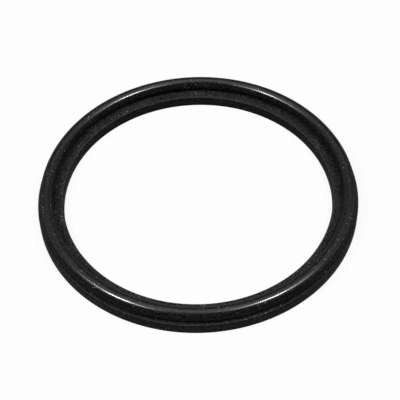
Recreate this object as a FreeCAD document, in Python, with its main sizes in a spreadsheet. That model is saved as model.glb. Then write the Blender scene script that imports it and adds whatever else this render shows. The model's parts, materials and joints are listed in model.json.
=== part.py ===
import FreeCAD, Part
import math
import os
import Sketcher

# Moulded rubber sealing ring, millimetres, +Z up.
# A flat-bottomed band carries one round sealing bead, which stands on it near its outer edge.
# The origin is the centre of the ring, on the plane of its flat base.

doc = FreeCAD.newDocument("SealingRing")


# Driving dimensions, one named cell each

SIZES = {
    "inner_diameter": 53.0,
    "section_width": 5.0,
    "base_thickness": 2.2,
    "edge_radius": 0.35,
    "bead_diameter": 2.65,
    "bead_inset": 0.5,
    "bead_sink": 0.15,
}

sheet = doc.addObject("Spreadsheet::Sheet", "Sizes")
for row, (alias, value) in enumerate(SIZES.items(), start=1):
    sheet.set(f"A{row}", alias)
    sheet.set(f"B{row}", str(value))
    sheet.setAlias(f"B{row}", alias)
doc.recompute()

INNER_WALL = "Sizes.inner_diameter / 2"
OUTER_WALL = "Sizes.inner_diameter / 2 + Sizes.section_width"

inner = SIZES["inner_diameter"] / 2
outer = inner + SIZES["section_width"]

START = 1
END = 2
CENTRE = 3
ORIGIN = (-1, 1)


def section_sketch(body, name):
    """An empty sketch on the plane that holds the ring's axis: across is the radius, up is the height."""
    sketch = body.newObject("Sketcher::SketchObject", name)
    plane = [p for p in body.Origin.OriginFeatures if p.Role == "XZ_Plane"][0]
    sketch.AttachmentSupport = [(plane, "")]
    sketch.MapMode = "FlatFace"
    return sketch


def at(across, height):
    return FreeCAD.Vector(across, height, 0)


def round_at(across, height, radius):
    return Part.Circle(at(across, height), FreeCAD.Vector(0, 0, 1), radius)


def drive(sketch, constraint, name, expression):
    """Adds a dimension to a sketch and ties it to the sheet."""
    index = sketch.addConstraint(constraint)
    sketch.renameConstraint(index, name)
    sketch.setExpression("Constraints." + name, expression)


def turn(body, sketch, name):
    """Turns a section once round the ring's axis."""
    ring = body.newObject("PartDesign::Revolution", name)
    ring.Profile = sketch
    ring.ReferenceAxis = (sketch, ["V_Axis"])
    ring.Angle = 360
    sketch.Visibility = False
    return ring


def draw_base(body):
    """The band's section: a flat bottom with sharp corners, two upright walls and two rounded upper edges."""
    land = SIZES["base_thickness"]
    edge = SIZES["edge_radius"]
    wall_top = land - edge
    quarter = math.pi / 2

    sketch = section_sketch(body, "BaseSection")
    bottom = sketch.addGeometry(Part.LineSegment(at(inner, 0), at(outer, 0)))
    outer_wall = sketch.addGeometry(Part.LineSegment(at(outer, 0), at(outer, wall_top)))
    outer_circle = round_at(outer - edge, wall_top, edge)
    outer_edge = sketch.addGeometry(Part.ArcOfCircle(outer_circle, 0, quarter))
    top = sketch.addGeometry(Part.LineSegment(at(outer - edge, land), at(inner + edge, land)))
    inner_circle = round_at(inner + edge, wall_top, edge)
    inner_edge = sketch.addGeometry(Part.ArcOfCircle(inner_circle, quarter, 2 * quarter))
    inner_wall = sketch.addGeometry(Part.LineSegment(at(inner, wall_top), at(inner, 0)))

    sketch.addConstraint([
        Sketcher.Constraint("Coincident", bottom, END, outer_wall, START),
        Sketcher.Constraint("Tangent", outer_wall, END, outer_edge, START),
        Sketcher.Constraint("Tangent", outer_edge, END, top, START),
        Sketcher.Constraint("Tangent", top, END, inner_edge, START),
        Sketcher.Constraint("Tangent", inner_edge, END, inner_wall, START),
        Sketcher.Constraint("Coincident", inner_wall, END, bottom, START),
        Sketcher.Constraint("Vertical", outer_wall),
        Sketcher.Constraint("Vertical", inner_wall),
        Sketcher.Constraint("Horizontal", top),
        Sketcher.Constraint("PointOnObject", bottom, START, -1),
        Sketcher.Constraint("PointOnObject", bottom, END, -1),
        Sketcher.Constraint("Equal", outer_edge, inner_edge),
    ])
    drive(sketch, Sketcher.Constraint("DistanceX", *ORIGIN, bottom, START, inner), "inner", INNER_WALL)
    drive(sketch, Sketcher.Constraint("DistanceX", *ORIGIN, bottom, END, outer), "outer", OUTER_WALL)
    drive(sketch, Sketcher.Constraint("DistanceY", *ORIGIN, top, START, land), "land", "Sizes.base_thickness")
    drive(sketch, Sketcher.Constraint("Radius", outer_edge, edge), "edge", "Sizes.edge_radius")
    return sketch


def draw_bead(body):
    """The bead's section: a circle sunk a little into the band, just inside its outer wall."""
    radius = SIZES["bead_diameter"] / 2
    across = outer - SIZES["bead_inset"] - radius
    height = SIZES["base_thickness"] - SIZES["bead_sink"] + radius

    sketch = section_sketch(body, "BeadSection")
    bead = sketch.addGeometry(round_at(across, height, radius))
    drive(sketch, Sketcher.Constraint("Radius", bead, radius), "radius", "Sizes.bead_diameter / 2")
    drive(
        sketch,
        Sketcher.Constraint("DistanceX", *ORIGIN, bead, CENTRE, across),
        "across",
        OUTER_WALL + " - Sizes.bead_inset - Sizes.bead_diameter / 2",
    )
    drive(
        sketch,
        Sketcher.Constraint("DistanceY", *ORIGIN, bead, CENTRE, height),
        "height",
        "Sizes.base_thickness - Sizes.bead_sink + Sizes.bead_diameter / 2",
    )
    return sketch


# The ring is one moulded piece: the band first, then the bead that stands on it

ring = doc.addObject("PartDesign::Body", "SealRing")
ring.Label = "seal_ring"
base_sketch = draw_base(ring)
doc.recompute()
turn(ring, base_sketch, "BaseBand")
doc.recompute()
bead_sketch = draw_bead(ring)
doc.recompute()
ring.Tip = turn(ring, bead_sketch, "SealingBead")
doc.recompute()


# Check the document, then write the piece

for item in doc.Objects:
    faults = [s for s in item.State if s in ("Invalid", "Error")]
    if faults:
        raise RuntimeError(f"{item.Label}: {faults}")

if ring.Shape.isNull() or not ring.Shape.isValid() or len(ring.Shape.Solids) != 1:
    raise RuntimeError("seal_ring is not one valid solid")

os.makedirs("parts", exist_ok=True)
ring.Shape.exportStep(os.path.join("parts", ring.Label + ".step"))
print(ring.Label, "volume", round(ring.Shape.Volume, 2))
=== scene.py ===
import json
import math

import bmesh
import bpy
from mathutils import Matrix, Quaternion


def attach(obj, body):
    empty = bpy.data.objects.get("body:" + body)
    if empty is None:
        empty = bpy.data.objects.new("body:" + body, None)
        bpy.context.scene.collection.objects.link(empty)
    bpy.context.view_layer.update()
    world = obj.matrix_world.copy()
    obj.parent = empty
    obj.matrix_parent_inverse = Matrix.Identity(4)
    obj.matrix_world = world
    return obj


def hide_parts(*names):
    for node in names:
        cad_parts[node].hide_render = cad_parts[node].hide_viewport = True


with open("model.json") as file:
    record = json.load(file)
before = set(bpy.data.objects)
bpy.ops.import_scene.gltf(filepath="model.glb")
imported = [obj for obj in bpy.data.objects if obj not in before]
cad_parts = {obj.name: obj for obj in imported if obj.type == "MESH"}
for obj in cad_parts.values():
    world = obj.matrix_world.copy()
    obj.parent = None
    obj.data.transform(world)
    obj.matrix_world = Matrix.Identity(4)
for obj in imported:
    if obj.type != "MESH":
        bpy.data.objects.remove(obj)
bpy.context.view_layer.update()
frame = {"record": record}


# The sealing ring. One piece of black rubber, pressed in a two-part mould and stripped out whole:
# a flat-bottomed band with softly rounded upper edges, and one round sealing bead that stands on it
# near the outer edge. It lies loose, on the flat of its base.

mount_sizes = {mount["name"]: mount["dims"] for mount in frame["record"]["mounts"]}
band_inner = mount_sizes["inner_bore"]["r_mm"] / 1000
band_outer = mount_sizes["outer_rim"]["r_mm"] / 1000
band_height = 0.0022
band_edge = 0.00035
bead_radius = 0.001325
bead_inset = 0.0005
bead_sink = 0.00015
bead_across = band_outer - bead_inset - bead_radius
bead_height = band_height - bead_sink + bead_radius
bead_sides = 96
edge_steps = 10
ring_steps = 360
sharpest_smooth_edge = math.radians(35)
hair = 1e-6


def pick(ring, test):
    """Selects the points of the ring whose place passes the test, and nothing else."""
    mesh = bmesh.from_edit_mesh(ring.data)
    bpy.ops.mesh.select_all(action="DESELECT")
    for vertex in mesh.verts:
        vertex.select = test(vertex.co)
    mesh.select_flush(True)
    bmesh.update_edit_mesh(ring.data)


def draw_on(across, up):
    """Draws the section on from the picked point, by that much across and up."""
    bpy.ops.mesh.extrude_region_move(TRANSFORM_OT_translate={"value": (across, 0, up)})


# The bead's section is a circle, cut off where it meets the top of the band
bpy.ops.object.select_all(action="DESELECT")
bpy.ops.mesh.primitive_circle_add(
    vertices=bead_sides,
    radius=bead_radius,
    location=(bead_across, 0, bead_height),
    rotation=(math.pi / 2, 0, 0),
)
ring = bpy.context.object
ring.name = "rubber_seal_ring"
bpy.ops.object.transform_apply(location=True, rotation=True, scale=True)
bpy.ops.object.mode_set(mode="EDIT")
bpy.ops.mesh.select_all(action="SELECT")
bpy.ops.mesh.bisect(
    plane_co=(0, 0, band_height), plane_no=(0, 0, 1), clear_inner=True, threshold=hair
)

# The band's section is drawn on from the bead's inner foot, round to its outer foot
feet = [v.co.x for v in bmesh.from_edit_mesh(ring.data).verts if v.co.z < band_height + hair]
pick(ring, lambda at: at.z < band_height + hair and at.x < bead_across)
draw_on(band_inner - min(feet), 0)
draw_on(0, -band_height)
draw_on(band_outer - band_inner, 0)
draw_on(0, band_height)
draw_on(max(feet) - band_outer, 0)
bpy.ops.mesh.select_all(action="SELECT")
bpy.ops.mesh.remove_doubles(threshold=2 * hair)

# Its two upper edges are rounded
pick(
    ring,
    lambda at: abs(at.z - band_height) < hair
    and (at.x < band_inner + hair or at.x > band_outer - hair),
)
bpy.ops.mesh.bevel(affect="VERTICES", offset=band_edge, segments=edge_steps, profile=0.5)

# The whole section is turned once round the ring's axis
bpy.ops.mesh.select_all(action="SELECT")
bpy.ops.mesh.spin(steps=ring_steps, angle=2 * math.pi, center=(0, 0, 0), axis=(0, 0, 1))
bpy.ops.mesh.select_all(action="SELECT")
bpy.ops.mesh.remove_doubles(threshold=2 * hair)
bpy.ops.mesh.normals_make_consistent(inside=False)
bpy.ops.object.mode_set(mode="OBJECT")
bpy.ops.object.shade_smooth_by_angle(angle=sharpest_smooth_edge)


class Tap:
    """One output of a finish's nodes: sums on it add Math nodes, and add() makes any other node."""

    def __init__(self, tree, socket=None):
        self.tree = tree
        self.socket = socket

    def add(self, kind, settings=None, sockets=None, out=0):
        node = self.tree.nodes.new(kind)
        for name, value in (settings or {}).items():
            setattr(node, name, value)
        for name, value in (sockets or {}).items():
            if isinstance(value, Tap):
                self.tree.links.new(value.socket, node.inputs[name])
            else:
                node.inputs[name].default_value = value
        return Tap(self.tree, node.outputs[out] if len(node.outputs) else None)

    def sum(self, operation, a, b):
        return self.add("ShaderNodeMath", {"operation": operation}, {0: a, 1: b})

    def __add__(self, other):
        return self.sum("ADD", self, other)

    def __sub__(self, other):
        return self.sum("SUBTRACT", self, other)

    def __rsub__(self, other):
        return self.sum("SUBTRACT", other, self)

    def __mul__(self, other):
        return self.sum("MULTIPLY", self, other)

    __radd__ = __add__
    __rmul__ = __mul__


def finish(name):
    """A new material with no nodes, and where its nodes are made."""
    material = bpy.data.materials.new(name)
    material.use_nodes = True
    material.node_tree.nodes.clear()
    return material, Tap(material.node_tree)


def ramp(tap, low, high, start=0.0, end=1.0):
    """Start below low, end above high, and a smooth change between them."""
    return tap.add(
        "ShaderNodeMapRange",
        {"interpolation_type": "SMOOTHSTEP"},
        {"Value": tap, "From Min": low, "From Max": high, "To Min": start, "To Max": end},
    )


def noise(spot, scale, detail):
    return spot.add("ShaderNodeTexNoise", {}, {"Vector": spot, "Scale": scale, "Detail": detail})


def grey(level):
    return (level, level, level, 1)


def blend(share, below, above):
    """One colour turning into another: none of the second where share is 0, all of it where share is 1."""
    return share.add("ShaderNodeMix", {"data_type": "RGBA"}, {0: share, 6: below, 7: above}, out=2)


# The rubber's colours, from the black of its pores to the dust that lies on it. The grey is the bloom's,
# and it also paints the highlight along the rounded edges
pore_black = grey(0.001)
skin_black = grey(0.016)
bloom_and_highlight_grey = grey(0.047)
dust_grey = grey(0.45)

# How many grains, speckles, clouds and dust specks go to the metre, and how deep the grain is
grain_count = 7000
speckle_count = 4200
cloud_count = 170
speck_count = 1400
grain_depth = 0.00003

# Heights above the top of the band between which the bead's foot comes clear of the film,
# the wall's film fades, and the bead's crown turns polished
foot_film = (0.00002, 0.0002)
wall_fade = (-0.0001, 0.0001)
crown_polish = (0.0019, 0.0024)

# Distances from the ring's axis between which the bloom thins towards the bead, as painted shade of the
# bead on the band, and the outer wall is told from the inner
bead_shade_span = (0.0268, 0.0288)
outer_side = (0.028, 0.031)

rubber, nodes = finish("moulded_black_rubber")
spot = nodes.add("ShaderNodeTexCoord", out="Object")
facing = nodes.add("ShaderNodeTexCoord", out="Normal")
height = spot.add("ShaderNodeSeparateXYZ", {}, {0: spot}, out="Z")
above_band = height - band_height
flat = spot.add("ShaderNodeVectorMath", {"operation": "MULTIPLY"}, {0: spot, 1: (1, 1, 0)})
across = flat.add("ShaderNodeVectorMath", {"operation": "LENGTH"}, {0: flat}, out="Value")
grain = noise(spot, grain_count, 2)
speckle = noise(spot, speckle_count, 2)
cloud = noise(spot, cloud_count, 3)
speck = spot.add("ShaderNodeTexVoronoi", {}, {"Vector": spot, "Scale": speck_count}, out="Distance")
mottle = ramp(speckle, 0.41, 0.59)

# Upward is 1 on a level face and 0 on an upright wall, and with the heights it tells the faces apart
upward = facing.add("ShaderNodeSeparateXYZ", {}, {0: facing}, out="Z")
ledge = ramp(upward, 0.6, 0.97) * ramp(above_band, *foot_film, 1, 0)
# A lighter line along the rounded upper edges is painted highlight, where the light catches the edge
painted_edge_highlight = ramp(upward, 0.65, 0.85) * ramp(upward, 0.97, 0.999, 1, 0)
wall = ramp(upward, 0, 0.4, 1, 0) * ramp(above_band, *wall_fade, 1, 0)
outer_wall = wall * ramp(across, *outer_side)
crown = ramp(above_band, *crown_polish)

# A grey bloom lies in clouds on the level faces, and faintly on the outer wall. Outwards, towards the
# bead, it is painted thinner: painted shade of the bead on the band
bloom_and_bead_shade = ramp(cloud, 0.3, 0.7, 0.6, 1) * (mottle + 0.15) * ramp(across, *bead_shade_span, 1, 0.75)
# The film is the bloom with the painted edge highlight on it, and a faint film on the outer wall
film_with_edge_highlight = ledge * (bloom_and_bead_shade + painted_edge_highlight * 0.7) + outer_wall * mottle * 0.2

# Dust gathers where the bloom does, and more of it on what faces up
drift = ramp(cloud, 0.42, 0.6, 0.2, 1)
settled = ramp(upward, 0.3, 0.95, 0.35, 1)
dust = ramp(speck, 0.07, 0.16, 1, 0) * drift * settled

bare = blend(mottle, pore_black, skin_black)
colour = blend(dust, blend(film_with_edge_highlight, bare, bloom_and_highlight_grey), dust_grey)


def skin(roughness, shine, grain_strength):
    """The surface of the rubber at one polish."""
    bump = nodes.add(
        "ShaderNodeBump", {}, {"Height": grain, "Strength": grain_strength, "Distance": grain_depth}
    )
    return nodes.add(
        "ShaderNodeBsdfPrincipled",
        {},
        {"Base Color": colour, "Roughness": roughness, "Specular IOR Level": shine, "Normal": bump},
    )


# The mould leaves the rubber matt, and only the bead's crown has a polish, which dies away at a slant
matt = skin(roughness=0.6, shine=0.02, grain_strength=0.3)
polished = skin(roughness=ramp(speckle, 0.3, 0.7, 0.13, 0.17), shine=1.0, grain_strength=0.015)
slant = nodes.add("ShaderNodeLayerWeight", {}, {"Blend": 0.5}, out="Facing")
gloss = crown * ramp(slant, 0.3, 0.5, 1, 0.15) * (mottle * 0.1 + 0.9)
surface = nodes.add("ShaderNodeMixShader", {}, {0: gloss, 1: matt, 2: polished})
nodes.add("ShaderNodeOutputMaterial", {}, {"Surface": surface})
ring.data.materials.append(rubber)

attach(ring, "root")
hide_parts("seal_ring")


# The floor. A matt white sheet that the ring lies on, far wider than the view.
# It shows white to the camera and to the gloss of the rubber, and keeps a soft shadow.

floor_side = 6
paper_white = grey(0.9)
plain_white = grey(1)
shown_white = 0.9


def shown(nodes):
    """1 along what the camera sees, straight, in a gloss or through glass, and 0 along all other light."""
    camera_ray = nodes.add("ShaderNodeLightPath", out="Is Camera Ray")
    glossy_ray = nodes.add("ShaderNodeLightPath", out="Is Glossy Ray")
    through_ray = nodes.add("ShaderNodeLightPath", out="Is Transmission Ray")
    return camera_ray + glossy_ray + through_ray


bpy.ops.object.select_all(action="DESELECT")
bpy.ops.mesh.primitive_plane_add(size=floor_side, location=(0, 0, 0))
floor = bpy.context.object
floor.name = "white_floor"

paper, nodes = finish("white_paper")
lit = nodes.add("ShaderNodeBsdfDiffuse", {}, {"Color": paper_white})
glow = nodes.add("ShaderNodeEmission", {}, {"Color": plain_white, "Strength": 1})
sheet = nodes.add("ShaderNodeMixShader", {}, {0: shown(nodes) * shown_white, 1: lit, 2: glow})
nodes.add("ShaderNodeOutputMaterial", {}, {"Surface": sheet})
floor.data.materials.append(paper)


# The light. Two small lamps stand left and right above the ring, a little towards the camera. Each
# has a wide dim lamp at the same place, which draws its streak on the bead out into a soft tail,
# and both are turned so that they lie along the streaks.

lamp_stands = (
    {"place": (-0.362, -0.154, 0.58), "turn": math.radians(30), "share": 1},
    {"place": (0.286, -0.115, 0.628), "turn": math.radians(-36), "share": 0.86},
)
small_lamp = {"width": 0.14, "depth": 0.085, "watts": 1.3}
wide_lamp = {"width": 0.42, "depth": 0.08, "watts": 0.5}

for stand in lamp_stands:
    for size in (small_lamp, wide_lamp):
        bpy.ops.object.light_add(type="AREA", location=stand["place"])
        lamp = bpy.context.object
        lamp.data.shape = "ELLIPSE"
        lamp.data.size = size["width"]
        lamp.data.size_y = size["depth"]
        lamp.data.energy = size["watts"] * stand["share"]
        lamp.rotation_mode = "QUATERNION"
        facing_ring = lamp.location.to_track_quat("Z", "Y")
        lamp.rotation_quaternion = facing_ring @ Quaternion((0, 0, 1), stand["turn"])


# The room round them. Pale and plain, brighter overhead, at its two sides and round the lamps.
# Near the horizon the camera and the gloss see it white, like the floor.

room = bpy.data.worlds.new("pale_room")
room.use_nodes = True
room.node_tree.nodes.clear()
nodes = Tap(room.node_tree)
way = nodes.add("ShaderNodeTexCoord", out="Generated")
aside = way.add("ShaderNodeSeparateXYZ", {}, {0: way}, out="X")
up = way.add("ShaderNodeSeparateXYZ", {}, {0: way}, out="Z")


def towards(place):
    """1 straight towards that side of the room, and less the further from it."""
    return way.add("ShaderNodeVectorMath", {"operation": "DOT_PRODUCT"}, {0: way, 1: place}, out="Value")


def fourth(tap):
    """A fourth power, which keeps a glow close to its middle."""
    square = tap * tap
    return square * square


room_glow = 0.07
overhead = towards((0, 0.14, 0.99))
ceiling_glow = fourth(overhead * overhead) * 0.67
side_glow = fourth(aside) * up * 0.78
left_lamp_glow = ramp(towards((-0.549, -0.168, 0.819)), 0.9, 1, 0, 0.8)
right_lamp_glow = ramp(towards((0.432, -0.14, 0.891)), 0.9, 1, 0, 0.7)
level = room_glow + ceiling_glow + side_glow + left_lamp_glow + right_lamp_glow
white = shown(nodes) * ramp(up, 0.17, 0.2, 1, 0)
air = nodes.add(
    "ShaderNodeBackground", {}, {"Color": plain_white, "Strength": level * (1 - white) + white}
)
nodes.add("ShaderNodeOutputWorld", {}, {"Surface": air})
bpy.context.scene.world = room


# The camera. It looks down at the ring from about 50 degrees above the floor and is rolled a little,
# as the photograph's was.

camera_rise = math.radians(49.9)
camera_reach = 0.2315
camera_roll = math.radians(-1.83)

bpy.ops.object.camera_add(
    location=(0, -camera_reach * math.cos(camera_rise), camera_reach * math.sin(camera_rise))
)
camera = bpy.context.object
camera.rotation_mode = "ZYX"
camera.rotation_euler = (math.pi / 2 - camera_rise, 0, camera_roll)
camera.data.sensor_width = 36
camera.data.lens = 104.9
camera.data.shift_x = 0.00475
camera.data.shift_y = 0.00025
camera.data.clip_start = 0.01
camera.data.clip_end = 20
bpy.context.scene.camera = camera
bpy.context.scene.view_settings.view_transform = "Standard"
